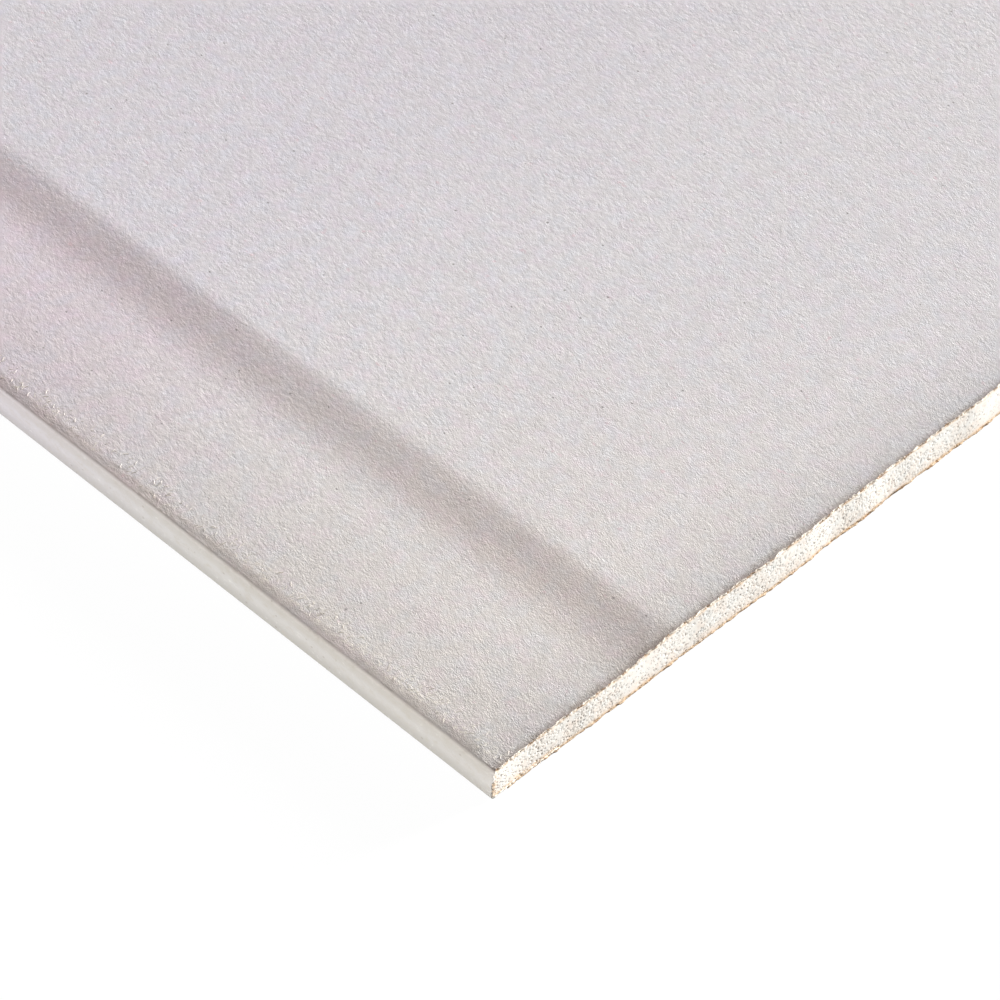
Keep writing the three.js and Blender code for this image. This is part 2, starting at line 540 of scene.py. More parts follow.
def build_paper(name, outline, thickness, key_places, tear, tear_seed, relief=None):
    """A thin sheet swept along the board. `relief` gives the extra height of a point near the surface."""
    settings = bpy.context.scene.drywall_paper
    plain_half = HALF_LENGTH - FADE_STATIONS[-1]
    spans = int(2 * plain_half / settings.length_step)
    plain = [(x, key_places, 0, math.inf) for x in np.linspace(plain_half, -plain_half, spans)[1:-1]]
    rows = end_rows(outline, key_places, PLUS_END) + plain + end_rows(outline, key_places, MINUS_END)[::-1]

    skin = Skin("rim")
    layers = [], []  # the outer and the inner rows, each as its vertices, its places and its place along
    for x, places, end, inset in rows:
        for layer, kept in enumerate(layers):
            if layer == 1 and 0 < inset < FADE_STATIONS[0]:
                continue
            use = places if layer == 0 or inset == 0 else key_places
            point, normal = outline.at(use), outline.normal(use)
            y, z = (point - normal * thickness * layer).T
            x_here = np.full(len(use), x)
            if end:
                fade = 1 - smoothstep(0, TEAR_REACH, inset)
                stray = saw_line(end, y) + tear * paper_tear(use, tear_seed + 20 * end)
                fuzz = FUZZ * noise(0.9 * MM, tear_seed + 3 + end, use) * layer
                x_here = x + end * fade * (stray + fuzz)
            if relief:
                z = z + relief(x_here, y, normal, end, inset, use)
            rim = max(0, 1 - inset / RIM_WIDTH) if end else 0
            kept.append((skin.row(np.stack([x_here, y, z], axis=1), rim), use, -x))
    outer, inner = layers
    for (first, at, _), (second, second_at, _) in zip(outer, outer[1:]):
        skin.bridge(second, first, second_at, at)
    for (first, at, _), (second, second_at, _) in zip(inner, inner[1:]):
        skin.bridge(first, second, at, second_at)
    # The cut edges at both ends, then the two long edges of the sheet.
    skin.bridge(outer[0][0], inner[0][0], material=1)
    skin.bridge(inner[-1][0], outer[-1][0], material=1)
    outer_along, inner_along = [np.array([along for _, _, along in layer]) for layer in layers]
    for side in (0, -1):
        outer_side, inner_side = [np.array([row[side] for row, _, _ in layer]) for layer in layers]
        if side == 0:
            skin.bridge(inner_side, outer_side, inner_along, outer_along, material=1)
        else:
            skin.bridge(outer_side, inner_side, outer_along, inner_along, material=1)
    return skin.mesh(name)


def face_relief(x, y, normal, end, inset, place):
    """The face paper's own relief: the wandering ramp, and the burr along each cut."""
    lift = ripple_lift(x, y, normal[:, 0], normal[:, 1])
    if end:
        near = math.exp(-inset / bpy.context.scene.drywall_cut.burr_width)
        # Most of the burr dies away soon, and the rest slowly.
        rise = burr(place, BURR_SEED + end) * (0.6 * near + 0.4 * near**0.35)
        lift = lift + rise * np.clip(normal[:, 1], 0, 1)
    return lift


def build_face_paper():
    spread = np.linspace(0, FACE_OUTLINE.length, 14)
    keys = np.unique(np.round(np.concatenate([CAD_STEPS, spread[3:-3]]), 6))
    tear = bpy.context.scene.drywall_cut.face_tear
    return build_paper("face_paper_finish", FACE_OUTLINE, FACE_PAPER, keys, tear, FACE_TEAR_SEED, face_relief)


def build_back_paper():
    outline = Outline([(-BACK_HIGH.y, 0), (BACK_HIGH.y, 0)], smooth=False)
    keys = np.linspace(0, outline.length, 16)
    tear = bpy.context.scene.drywall_cut.back_tear
    return build_paper("back_paper_finish", outline, BACK_PAPER, keys, tear, BACK_TEAR_SEED)


# ---------------------------------------------------------------------------------------------
# Node graphs: a small wrapper that keeps shader and geometry trees readable.


class Graph:
    """Adds nodes to a tree, sets their inputs and links them."""

    def __init__(self, tree):
        self.tree = tree

    def node(self, kind, inputs=None, **settings):
        node = self.tree.nodes.new(kind)
        for name, value in settings.items():
            setattr(node, name, value)
        for name, value in (inputs or {}).items():
            self.feed(node.inputs[name], value)
        return node

    def feed(self, socket, value):
        """Links a socket to another one, or sets its value. A colour is given as three numbers."""
        if isinstance(value, bpy.types.NodeSocket):
            self.tree.links.new(value, socket)
        elif socket.type == "RGBA":
            socket.default_value = (*value, 1)
        else:
            socket.default_value = value

    def math(self, operation, first, second=0.0):
        return self.node("ShaderNodeMath", {0: first, 1: second}, operation=operation).outputs[0]

    def times(self, first, second):
        return self.math("MULTIPLY", first, second)

    def rest(self, share):
        """What a share leaves of the whole."""
        return self.math("SUBTRACT", 1.0, share)

    def spread(self, value, low, high, to_low=0.0, to_high=1.0):
        """Maps low..high onto to_low..to_high with soft ends."""
        inputs = {"Value": value, "From Min": low, "From Max": high, "To Min": to_low, "To Max": to_high}
        return self.node("ShaderNodeMapRange", inputs, interpolation_type="SMOOTHSTEP").outputs[0]

    def fade(self, value, low, high):
        """1 up to low and 0 from high on, with soft ends."""
        return self.spread(value, low, high, 1, 0)

    def noise(self, vector, scale, detail, roughness):
        inputs = {"Vector": vector, "Scale": scale, "Detail": detail, "Roughness": roughness}
        return self.node("ShaderNodeTexNoise", inputs).outputs[0]

    def blend(self, share, first, second, mode="MIX"):
        node = self.tree.nodes.new("ShaderNodeMix")
        node.data_type = "RGBA"
        node.blend_type = mode
        for index, value in ((0, share), (6, first), (7, second)):
            self.feed(node.inputs[index], value)
        return node.outputs[2]

    def tinted(self, colour, factor):
        return self.blend(1.0, colour, factor, "MULTIPLY")

    def place(self):
        return self.node("ShaderNodeTexCoord").outputs["Object"]

    def parts(self, vector):
        return self.node("ShaderNodeSeparateXYZ", {0: vector}).outputs

    def attribute(self, name):
        return self.node("ShaderNodeAttribute", attribute_name=name).outputs["Fac"]

    def mapped(self, vector, scale=(1, 1, 1), turn=(0, 0, 0)):
        return self.node("ShaderNodeMapping", {"Vector": vector, "Scale": scale, "Rotation": turn}).outputs[0]

    def grey(self, value):
        return self.node("ShaderNodeCombineColor", {0: value, 1: value, 2: value}).outputs[0]

    def ramp(self, value, *stops):
        """Colours along a value, given as (position, colour) pairs."""
        node = self.node("ShaderNodeValToRGB", {"Fac": value})
        elements = node.color_ramp.elements
        while len(elements) < len(stops):
            elements.new(1.0)
        for element, (position, tone) in zip(elements, stops):
            element.position = position
            element.color = (*tone, 1)
        return node.outputs[0]

    def levels(self, value, *stops):
        """Greys along a value, given as (position, level) pairs."""
        return self.ramp(value, *[(position, (level, level, level)) for position, level in stops])

    def group(self, tree, **inputs):
        node = self.node("ShaderNodeGroup", node_tree=tree)
        for name, value in inputs.items():
            self.feed(node.inputs[name.replace("_", " ")], value)
        return node.outputs


def shader_group(name, inputs, outputs):
    """A new shader node group with named sockets, its graph, its input sockets and its output node."""
    tree = bpy.data.node_groups.new(name, "ShaderNodeTree")
    for label, kind, default in inputs:
        socket = tree.interface.new_socket(name=label, in_out="INPUT", socket_type=kind)
        if default is not None:
            socket.default_value = default
    for label, kind in outputs:
        tree.interface.new_socket(name=label, in_out="OUTPUT", socket_type=kind)
    return tree, Graph(tree), tree.nodes.new("NodeGroupInput").outputs, tree.nodes.new("NodeGroupOutput")


FLOAT, COLOUR, VECTOR = "NodeSocketFloat", "NodeSocketColor", "NodeSocketVector"
MID_GREY = (0.5, 0.5, 0.5, 1)

# The pressed fibres of the felt: heading in degrees from +X, stretch along it, and strength.
FELT_STRANDS = ((4, 0.45, 1.0), (-14, 0.45, 1.2), (-32, 0.5, 0.8), (-68, 0.45, 1.2))


def felt_group():
    """Felted paper: an uneven base with short pressed fibres that run mostly one way."""
    tree, graph, given, result = shader_group(
        "Felted Paper",
        [("Vector", VECTOR, None), ("Fibre Share", FLOAT, 0.5), ("Grain", FLOAT, 0.95)],
        [("Height", FLOAT), ("Fibres", FLOAT), ("Mottle", FLOAT)],
    )

    def laid(heading, stretch, *grain):
        """Noise drawn out along a heading, given in degrees from +X."""
        turned = graph.mapped(given["Vector"], turn=(0, 0, math.radians(-heading)))
        return graph.noise(graph.mapped(turned, (stretch, 1, 1)), *grain)

    base = laid(-14, 0.66, 700, 3, given["Grain"])
    fibres = None
    for heading, stretch, strength in FELT_STRANDS:
        strand = graph.times(graph.math("SUBTRACT", laid(heading, stretch, 2900, 1, 0.5), 0.5), strength)
        fibres = graph.math("MAXIMUM", fibres, strand) if fibres else strand
    mottle = laid(-70, 0.65, 300, 3, 0.85)
    uneven = graph.spread(laid(0, 1, 260, 2, 0.5), 0.35, 0.65, 0.75, 1.25)
    height = graph.math("ADD", base, graph.times(fibres, given["Fibre Share"]))
    height = graph.times(graph.math("SUBTRACT", height, 0.6), uneven)
    for label, value in (("Height", height), ("Fibres", fibres), ("Mottle", mottle)):
        graph.feed(result.inputs[label], value)
    return tree


def drift_group():
    """Slow drift of a colour towards two others, in soft clouds."""
    tree, graph, given, result = shader_group(
        "Colour Drift",
        [("Vector", VECTOR, None), ("Colour", COLOUR, MID_GREY), ("Warm", COLOUR, MID_GREY),
         ("Cool", COLOUR, MID_GREY), ("Scale", FLOAT, 60), ("Amount", FLOAT, 0.5)],
        [("Colour", COLOUR)],
    )
    drifted = given["Colour"]
    for label, turn in (("Warm", 0), ("Cool", 1.1)):
        clouds = graph.noise(graph.mapped(given["Vector"], turn=(0, 0, turn)), given["Scale"], 4, 0.6)
        share = graph.times(graph.spread(clouds, 0.42, 0.68), given["Amount"])
        drifted = graph.blend(share, drifted, given[label])
    graph.feed(result.inputs["Colour"], drifted)
    return tree


def speck_group():
    """Scattered specks: small soft dots, some of the cells of a pattern and not others."""
    tree, graph, given, result = shader_group(
        "Specks",
        [("Vector", VECTOR, None), ("Scale", FLOAT, 300), ("Size", FLOAT, 0.2), ("Share", FLOAT, 0.3)],
        [("Mask", FLOAT)],
    )
    dots = graph.node("ShaderNodeTexVoronoi", {"Vector": given["Vector"], "Scale": given["Scale"]}).outputs
    near = graph.fade(dots["Distance"], graph.times(given["Size"], 0.5), given["Size"])
    split = graph.node("ShaderNodeSeparateColor", {"Color": dots["Color"]}).outputs
    chosen = graph.math("LESS_THAN", split[0], given["Share"])
    graph.feed(result.inputs["Mask"], graph.times(near, chosen))
    return tree


def shared_group(name, build):
    return bpy.data.node_groups.get(name) or build()


def felt(graph, place, **inputs):
    """The outputs of the felted paper group: its height, its fibres and its mottle."""
    return graph.group(shared_group("Felted Paper", felt_group), Vector=place, **inputs)


def drift(graph, place, colour, warm, cool, scale, amount):
    """A colour that drifts in clouds towards a warmer and a cooler one."""
    tree = shared_group("Colour Drift", drift_group)
    return graph.group(tree, Vector=place, Colour=colour, Warm=warm, Cool=cool, Scale=scale, Amount=amount)[0]


def specks(graph, vector, scale, size, share):
    """A mask of small dots: `size` is a share of their spacing, and `share` says how many there are."""
    tree = shared_group("Specks", speck_group)
    return graph.group(tree, Vector=vector, Scale=scale, Size=size, Share=share)[0]


# ---------------------------------------------------------------------------------------------
# Materials.

# Colours that mottle or stain a surface, and the painted sheen on the wrapped side and painted shade in
# stained pores. The main ones are settings.
GYPSUM_DUST = srgb(246, 236, 222)
PINK_FIBRE = srgb(223, 199, 203)
DARK_FLECK = srgb(112, 108, 104)
SHOULDER_LINT = srgb(238, 228, 214)
CORNER_LINT = srgb(252, 245, 234)
SIDE_SHEEN = srgb(242, 241, 238)
SIDE_GRIME = srgb(158, 148, 134)
SIDE_YELLOWED = (1, 0.993, 0.975)
BACK_WARM, BACK_COOL = srgb(150, 122, 92), srgb(132, 126, 116)
BACK_DARK_FLECK, BACK_PALE_FLECK = srgb(96, 78, 60), srgb(190, 176, 156)
GYPSUM_WARM, GYPSUM_COOL = srgb(240, 222, 208), srgb(228, 230, 228)
STAINED_PORE_SHADE = srgb(140, 92, 52)
FIBRE_DULL, FIBRE_BRIGHT = srgb(242, 234, 222), srgb(252, 246, 238)

# Distances in from the cut, between which the paper changes from what the saw left to the plain face.
END_ZONE = 30 * MM, 150 * MM
CORNER_ZONE = 60 * MM, 120 * MM
TAPER_SPAN = 100 * MM  # what the positions of the wear across the taper are shares of
LINT_SPAN = 20 * MM  # the same for the lint


def new_material(name):
    """A new material, its graph, its shader and the place of the shaded point."""
    material = bpy.data.materials.new(name)
    material.use_nodes = True
    graph = Graph(material.node_tree)
    return material, graph, material.node_tree.nodes["Principled BSDF"], graph.place()


def finish_shader(graph, shader, colour, roughness, height=None, depth=0.0, specular=0.25):
    graph.feed(shader.inputs["Base Color"], colour)
    graph.feed(shader.inputs["Roughness"], roughness)
    shader.inputs["Specular IOR Level"].default_value = specular
    if height is not None:
        bump = graph.node("ShaderNodeBump", {"Height": height, "Distance": depth, "Strength": 1.0})
        graph.feed(shader.inputs["Normal"], bump.outputs[0])


def inwards(graph, half, part):
    """Distance in from the nearer of two outer faces, each `half` away from the middle."""
    return graph.math("SUBTRACT", half, graph.math("ABSOLUTE", part))


def face_field(graph, place, from_edge, from_cut, lilac_share):
    """The liner's own colour: yellower near the sheet's corners, lilac further from the ends, and clouded."""
    settings = bpy.context.scene.drywall_paper
    inset = graph.math("ADD", from_edge, from_cut)
    field = graph.blend(graph.spread(inset, 0.03, 0.3), settings.corner_colour, settings.face_colour)
    on_taper = graph.fade(from_edge, 48 * MM, 78 * MM)
    lilac = graph.blend(on_taper, settings.lilac_face, settings.lilac_taper)
    field = graph.blend(lilac_share, field, graph.tinted(field, lilac))
    rose, blue = graph.tinted(field, settings.face_rose), graph.tinted(field, settings.face_blue)
    return drift(graph, place, field, rose, blue, 150.0, graph.spread(from_edge, 0.05, 0.3, 0.44, 0.3))


def felted(graph, field, place, fabric):
    """A liner's colour with its felt, a few stray pink fibres and dark flecks."""
    # The felt is painted paler on its fibres' crests and darker in the hollows between them: painted light
    # and shade, with some dirt in the hollows.
    fine = graph.spread(fabric["Fibres"], 0, 0.35, 0.96, 1.05)
    mottle = graph.spread(fabric["Mottle"], 0.2, 0.8, 0.93, 1.07)
    paper = graph.tinted(field, graph.grey(graph.times(fine, mottle)))
    pink = graph.noise(graph.mapped(place, (0.7, 1, 1)), 380, 2, 0.6)
    paper = graph.blend(graph.spread(pink, 0.66, 0.78, 0, 0.6), paper, PINK_FIBRE)
    dark = specks(graph, graph.mapped(place, (0.7, 1, 1)), 240.0, 0.085, 0.3)
    return graph.blend(graph.times(dark, 0.75), paper, DARK_FLECK)


def taper_shaded(graph, paper, from_edge, from_cut, corner):
    """The paper with painted shade along the ramp and inside the shoulder, and a mask of the ramp."""
    settings = bpy.context.scene.drywall_paper
    plain = (1, 1, 1)
    slide_end = settings.slide_start + SLIDE_RUN
    slid = graph.spread(from_cut, settings.slide_start, slide_end, 0, settings.ramp_slide)
    slid = graph.times(slid, graph.math("GREATER_THAN", from_edge, 60 * MM))
    across = graph.math("DIVIDE", graph.math("ADD", from_edge, slid), TAPER_SPAN)
    # Painted shade: a dark band just inside the shoulder, deepest in its middle, and a softer one down the
    # ramp.
    deepest = tuple(0.91 * share for share in settings.shoulder_shade_tint)
    tapered = graph.ramp(
        across,
        (0.02, settings.shoulder_shade_tint), (0.027, deepest), (0.036, deepest), (0.044, settings.shoulder_shade_tint),
        (0.057, plain), (0.45, plain), (0.54, settings.ramp_shade_tint), (0.65, settings.ramp_shade_tint), (0.71, plain),
    )
    on_ramp = graph.levels(across, (0.56, 0), (0.61, 1), (0.645, 1), (0.675, 0))
    # Near the cut the ramp is darkened a little more, which is painted shade too.
    ramp_shade_near_cut = graph.times(on_ramp, graph.spread(from_cut, 0.05, 0.1, 0.045, 0))
    paper = graph.blend(ramp_shade_near_cut, paper, (0, 0, 0))
    # Near the corners the painted shade inside the shoulder is eased.
    corner_shade_eased = graph.times(graph.times(corner, 0.35), graph.fade(from_edge, 0.01, 0.03))
    return graph.tinted(paper, graph.blend(corner_shade_eased, tapered, plain)), on_ramp


def scuffed(graph, paper, place, from_cut, on_ramp):
    """The paper with painted shade in a band beside the cut and greyer further in towards it, and a mask of
    that band.
    """
    settings = bpy.context.scene.drywall_paper
    ragged = graph.math("ADD", from_cut, graph.times(graph.noise(place, 700, 4, 0.75), 4.5 * MM))
    # Painted shade in a ragged band along the cut.
    beside = graph.fade(ragged, 1.9 * MM, 5.2 * MM)
    paper = graph.blend(beside, paper, graph.tinted(paper, settings.cut_shade_tint))
    # Greyer towards the cut, and less so on the ramp.
    near_cut_grey = graph.levels(
        graph.math("DIVIDE", ragged, settings.near_cut_grey_width),
        (0.18, 1), (0.29, 0.6), (0.46, 0.36), (0.74, 0.16), (1, 0),
    )
    near_cut_grey = graph.times(near_cut_grey, graph.rest(graph.times(on_ramp, 0.4)))
    return graph.blend(near_cut_grey, paper, graph.tinted(paper, settings.near_cut_grey_tint)), beside


def frayed(graph, paper, place):
    """The paper frayed along its rim, where plies and gypsum dust show."""
    settings = bpy.context.scene.drywall_paper
    fray = graph.times(graph.noise(place, 1100, 3, 0.7), 0.9)
    plies = graph.spread(graph.noise(place, 520, 3, 0.7), 0.47, 0.58)
    plies = graph.blend(plies, GYPSUM_DUST, settings.ply_dark)
    return graph.blend(graph.spread(graph.math("ADD", graph.attribute("rim"), fray), 1.0, 1.25), paper, plies)


def linted(graph, paper, place, from_edge, corner):
    """The paper with pale lint inside the shoulder: in patches, but unbroken and paler near the ends."""
    tufts = graph.noise(graph.mapped(place, (0.5, 1, 1)), 1300, 2, 0.6)
    tufts = graph.math("ADD", tufts, graph.times(corner, 0.05))
    patches = graph.spread(graph.noise(place, 90, 2, 0.6), 0.47, 0.6)
    patches = graph.math("MAXIMUM", patches, corner)
    band = graph.levels(graph.math("DIVIDE", from_edge, LINT_SPAN), (0.12, 0), (0.25, 1), (0.62, 0))
    lint = graph.times(graph.times(graph.spread(tufts, 0.56, 0.7), patches), band)
    return graph.blend(graph.times(lint, 0.75), paper, graph.blend(corner, SHOULDER_LINT, CORNER_LINT))


def wrapped_side(graph, place, up, from_cut, lilac_share):
    """The smooth paper on the long edges: painted shade low down and just below the shoulder, a painted
    highlight where it meets the shoulder, faint long smears and pale patches of painted sheen.
    """
    settings = bpy.context.scene.drywall_paper
    # Painted light and shade up the side: darker near the back and just below the shoulder, palest where it
    # turns into the shoulder.
    side = graph.ramp(
        graph.math("DIVIDE", up, FACE_HEIGHT),
        (0.03, settings.side_low_shade), (0.42, settings.side_colour), (0.53, settings.side_colour),
        (0.65, settings.side_high_shade), (0.74, settings.side_high_shade), (0.81, settings.side_crest_light),
    )
    drawn = graph.mapped(place, (0.6, 1, 1))
    smears = graph.noise(drawn, 420, 6, 0.85)
    side = graph.blend(graph.spread(smears, 0.47, 0.72, 0, 0.7), side, settings.side_stain)
    # Pale patches of painted sheen where the smear noise is lowest.
    side = graph.blend(graph.spread(smears, 0.45, 0.25), side, SIDE_SHEEN)
    side = graph.blend(graph.times(specks(graph, drawn, 700.0, 0.25, 0.12), 0.35), side, SIDE_GRIME)
    side = graph.blend(lilac_share, side, graph.tinted(side, settings.lilac_side))
    return graph.blend(graph.spread(from_cut, 0.03, 0.14), graph.tinted(side, SIDE_YELLOWED), side)


def face_paper_material():
    """Pale liner: lilac grey and felted, with painted shade along the taper and smooth where it wraps the
    long edge.
    """
    settings = bpy.context.scene.drywall_paper
    material, graph, shader, place = new_material("Face Paper")
    x, y, z = graph.parts(place)
    from_edge, from_cut = inwards(graph, HALF_WIDTH, y), inwards(graph, HALF_LENGTH, x)
    wrapped = graph.fade(from_edge, 1.0 * MM, 1.9 * MM)
    corner = graph.fade(from_cut, *CORNER_ZONE)
    lilac_share = graph.spread(from_cut, settings.lilac_start, settings.lilac_start + settings.lilac_run)
    lilac_share = graph.times(lilac_share, graph.spread(from_cut, 0.4, 1.2, 1.0, 0.55))

    fibre_share = graph.spread(from_cut, *END_ZONE, 0.44, 0.24)
    grain = graph.spread(from_cut, *END_ZONE, 0.95, 0.72)
    fabric = felt(graph, place, Fibre_Share=fibre_share, Grain=grain)
    paper = felted(graph, face_field(graph, place, from_edge, from_cut, lilac_share), place, fabric)
    paper, on_ramp = taper_shaded(graph, paper, from_edge, from_cut, corner)
    paper, beside = scuffed(graph, paper, place, from_cut, on_ramp)
    paper = linted(graph, frayed(graph, paper, place), place, from_edge, corner)
    colour = graph.blend(wrapped, paper, wrapped_side(graph, place, z, from_cut, lilac_share))

    # The felt stands up most just inside the shoulder, and hardly at all on the wrapped side.
    raised = graph.math("MAXIMUM", graph.fade(from_edge, 2.5 * MM, 9 * MM), beside)
    strength = graph.math("ADD", 1.0, graph.times(raised, 0.4))
    strength = graph.times(strength, graph.spread(from_cut, *END_ZONE, 1.25, 0.92))
    strength = graph.times(strength, graph.rest(graph.times(wrapped, 0.88)))
    finish_shader(graph, shader, colour, 0.92, graph.times(fabric["Height"], strength), settings.felt_depth)
    return material


def torn_plies(graph, place, dark, light):
    return graph.blend(graph.spread(graph.noise(place, 900, 3, 0.7), 0.36, 0.6), dark, light)


def back_paper_material():
    """Brown-grey liner of recycled fibre, whose plies show beside the cut."""
    settings = bpy.context.scene.drywall_paper
    material, graph, shader, place = new_material("Back Paper")
    colour = drift(graph, place, settings.back_colour, BACK_WARM, BACK_COOL, 30.0, 0.8)
    dark = specks(graph, place, 260.0, 0.12, 0.2)
    colour = graph.blend(graph.times(dark, 0.5), colour, BACK_DARK_FLECK)
    pale = specks(graph, graph.mapped(place, (0.3, 1, 1)), 420.0, 0.14, 0.12)
    colour = graph.blend(graph.times(pale, 0.35), colour, BACK_PALE_FLECK)
    torn = graph.fade(inwards(graph, HALF_LENGTH, graph.parts(place)[0]), 0.6 * MM, 1.6 * MM)
    colour = graph.blend(torn, colour, torn_plies(graph, place, settings.kraft_dark, settings.kraft_light))
    height = felt(graph, place, Fibre_Share=0.6)["Height"]
    finish_shader(graph, shader, colour, 0.94, height, settings.felt_depth * 1.3)
    return material


def torn_edge_material(name, dark, light, dusting):
    """A paper's cut edge: recycled plies with darker grains, dusted with gypsum in places."""
    settings = bpy.context.scene.drywall_paper
    material, graph, shader, place = new_material(name)
    dust = graph.spread(graph.noise(place, 230, 3, 0.65), 0.6 - dusting / 3, 0.75 - dusting / 3)
    colour = graph.blend(dust, torn_plies(graph, place, dark, light), GYPSUM_DUST)
    height = felt(graph, place, Fibre_Share=0.8)["Height"]
    finish_shader(graph, shader, colour, 0.95, height, settings.felt_depth)
    return material


def face_edge_material():
    settings = bpy.context.scene.drywall_paper
    return torn_edge_material("Face Paper Edge", settings.ply_dark, settings.ply_light, 0.75)


def back_edge_material():
    settings = bpy.context.scene.drywall_paper
    return torn_edge_material("Back Paper Edge", settings.kraft_dark, settings.kraft_light, 0.1)


def gypsum_material():
    """Sawn gypsum: warm white and powdery, full of fine air pores with painted shade in them, stained by the
    paper round its rim.
    """
    settings = bpy.context.scene.drywall_cut
    material, graph, shader, place = new_material("Gypsum")
    colour = graph.ramp(
        graph.math("DIVIDE", graph.parts(place)[2], FACE_HEIGHT),
        (0.03, settings.gypsum_foot), (0.12, settings.gypsum_low),
        (0.4, settings.gypsum_colour), (0.8, settings.gypsum_high),
    )
    colour = drift(graph, place, colour, GYPSUM_WARM, GYPSUM_COOL, 260.0, 0.5)
    stain = graph.times(graph.attribute("rim"), graph.spread(graph.noise(place, 650, 3, 0.7), 0.3, 0.62))
    colour = graph.blend(graph.times(stain, 0.8), colour, settings.rim_colour)
    # Painted shade in the pores: the mesh's deeper pores and fine specks darkened, browner where the rim is
    # stained.
    crowd = graph.spread(graph.noise(place, 110, 2, 0.6), 0.4, 0.62, 0.1, 0.5)
    large = specks(graph, place, 820.0, 0.36, graph.times(crowd, 0.6))
    small = specks(graph, place, 1500.0, 0.42, crowd)
    fine = graph.math("MAXIMUM", large, graph.times(small, 0.75))
    pores = graph.times(graph.spread(graph.attribute("pore"), 0.1, 0.8), 0.5)
    pores = graph.times(graph.math("MAXIMUM", pores, fine), 0.8)
    colour = graph.blend(pores, colour, graph.blend(stain, settings.pore_shade_colour, STAINED_PORE_SHADE))
    relief = graph.math("SUBTRACT", graph.noise(place, 1300, 3, 0.65), graph.times(fine, 0.6))
    finish_shader(graph, shader, colour, 0.95, relief, 0.014 * MM, 0.15)
    return material


def fibre_material():
    """Loose cellulose fibres, paler than the paper that they stand on."""
    material, graph, shader, place = new_material("Loose Fibre")
    tone = graph.spread(graph.noise(place, 700, 2, 0.5), 0.35, 0.65)
    finish_shader(graph, shader, graph.blend(tone, FIBRE_DULL, FIBRE_BRIGHT), 0.8)
    return material


def material_named(name, build):
    return bpy.data.materials.get(name) or build()


# ---------------------------------------------------------------------------------------------
# Scattered pieces: Geometry Nodes put fibres and torn shreds on a hidden host strip.

SCATTER_INPUTS = (
    ("Density", 1e5), ("Clumping", 0.5), ("Clump Scale", 200.0), ("Length", 0.001),
    ("Thickness", 0.05), ("Heading", 0.0), ("Spread", 0.5), ("Pitch", 0.3),
)


def scatter_tree(name, shape):
    """A tree that scatters one small shape over its input mesh. `shape` adds that shape's nodes."""
    tree = bpy.data.node_groups.new(name, "GeometryNodeTree")
    tree.interface.new_socket(name="Geometry", in_out="INPUT", socket_type="NodeSocketGeometry")
    for label, default in SCATTER_INPUTS:
        socket = tree.interface.new_socket(name=label, in_out="INPUT", socket_type="NodeSocketFloat")
        socket.default_value = default
    tree.interface.new_socket(name="Seed", in_out="INPUT", socket_type="NodeSocketInt")
    tree.interface.new_socket(name="Material", in_out="INPUT", socket_type="NodeSocketMaterial")
    tree.interface.new_socket(name="Geometry", in_out="OUTPUT", socket_type="NodeSocketGeometry")
    graph = Graph(tree)
    given, result = tree.nodes.new("NodeGroupInput").outputs, tree.nodes.new("NodeGroupOutput")

    # Clumps: the more clumping, the higher the noise has to be before anything stands there.
    clumps = graph.noise(graph.node("GeometryNodeInputPosition").outputs[0], given["Clump Scale"], 2, 0.6)
    low = graph.math("MULTIPLY_ADD", given["Clumping"], 0.22)
    graph.feed(low.node.inputs[2], 0.3)
    density = graph.times(graph.spread(clumps, low, graph.math("ADD", low, 0.16)), given["Density"])
    points = graph.node(
        "GeometryNodeDistributePointsOnFaces",
        {"Mesh": given["Geometry"], "Density": density, "Seed": given["Seed"]},
    ).outputs["Points"]

    def random(low_value, high_value, salt):
        node = graph.node("FunctionNodeRandomValue", data_type="FLOAT")
        graph.feed(node.inputs[2], low_value)
        graph.feed(node.inputs[3], high_value)
        graph.feed(node.inputs["Seed"], graph.math("ADD", given["Seed"], salt))
        return node.outputs[1]

    yaw = random(graph.times(given["Spread"], -1), given["Spread"], 1)
    yaw = graph.math("ADD", given["Heading"], yaw)
    pitch = random(graph.times(given["Pitch"], -1), graph.times(given["Pitch"], 0.25), 2)
    turn = graph.node("ShaderNodeCombineXYZ", {0: random(-1.2, 1.2, 3), 1: pitch, 2: yaw}).outputs[0]
    size = graph.times(given["Length"], random(0.45, 1.3, 4))
    placed = graph.node(
        "GeometryNodeInstanceOnPoints",
        {"Points": points, "Instance": shape(graph, given), "Rotation": turn, "Scale": size},
    ).outputs[0]
    real = graph.node("GeometryNodeRealizeInstances", {0: placed}).outputs[0]
    painted = graph.node("GeometryNodeSetMaterial", {"Geometry": real, "Material": given["Material"]})
    graph.feed(result.inputs[0], painted.outputs[0])
    return tree


def fibre_shape(graph, given):
    """One arched fibre of unit length along X."""
    arc = graph.node(
        "GeometryNodeCurveQuadraticBezier",
        {"Resolution": 3, "Start": (-0.5, 0, 0), "Middle": (0.05, 0.1, 0.12), "End": (0.5, -0.04, 0.04)},
    ).outputs[0]
    ring = graph.node("GeometryNodeCurvePrimitiveCircle", {"Resolution": 3, "Radius": given["Thickness"]})
    tube = {"Curve": arc, "Profile Curve": ring.outputs[0], "Fill Caps": True}
    return graph.node("GeometryNodeCurveToMesh", tube).outputs[0]


def shred_shape(graph, given):
    """One torn shred: a small lump, narrowed and flattened."""
    lump = graph.node("GeometryNodeMeshIcoSphere", {"Radius": 0.5, "Subdivisions": 1}).outputs[0]
    squash = graph.node("ShaderNodeCombineXYZ", {0: 1.0, 1: 0.55, 2: given["Thickness"]}).outputs[0]
    return graph.node("GeometryNodeTransform", {"Geometry": lump, "Scale": squash}).outputs[0]


